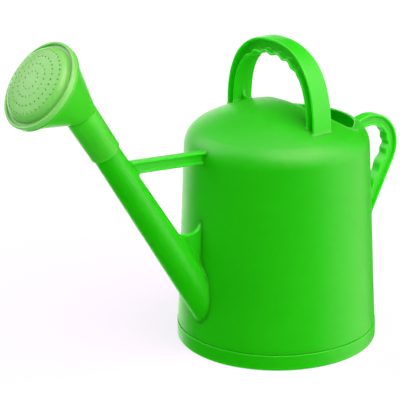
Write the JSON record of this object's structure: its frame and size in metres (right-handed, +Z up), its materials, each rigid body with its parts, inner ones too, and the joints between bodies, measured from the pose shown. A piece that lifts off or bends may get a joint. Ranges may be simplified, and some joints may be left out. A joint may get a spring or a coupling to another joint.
{
  "type": "watering can",
  "caption": "Round garden watering can with a domed top, open filler mouth, carrying arch, rear pouring handle, long braced spout and a removable, turning rose.",
  "frame": {"origin": "centre of the round underside, on the surface that the can stands on", "axes": "+Z up; -X towards the spout and rose, +X towards the rear handle; the can is a mirror image about the plane y = 0"},
  "size_m": [0.5179, 0.23, 0.3924],
  "materials": {
    "tank_plastic": "satin moulded polypropylene",
    "base_plastic": "satin moulded polypropylene",
    "handle_plastic": "satin moulded polypropylene",
    "rose_plastic": "satin moulded polypropylene",
    "face_plastic": "satin moulded polypropylene"
  },
  "bodies": {
    "can": {"tank": "tank_plastic", "base_plate": "base_plastic", "spout": "tank_plastic", "spout_brace": "tank_plastic", "top_handle": "handle_plastic", "rear_handle": "handle_plastic"},
    "sleeve": {"rose_sleeve": "rose_plastic"},
    "funnel": {"rose_funnel": "rose_plastic"},
    "face": {"rose_face": "face_plastic"}
  },
  "joints": [
    {"name": "rose_pull", "type": "slide", "parent": "can", "child": "sleeve", "axis": [-0.5358, 0, 0.8443], "range_m": [0, 0.06]},
    {"name": "rose_turn", "type": "hinge", "parent": "sleeve", "child": "funnel", "pos_m": [-0.26198, 0, 0.31302], "axis": [-0.5358, 0, 0.8443], "continuous": true},
    {"name": "face_pull", "type": "slide", "parent": "funnel", "child": "face", "axis": [-0.7986, 0, 0.6018], "range_m": [0, 0.02]}
  ]
}
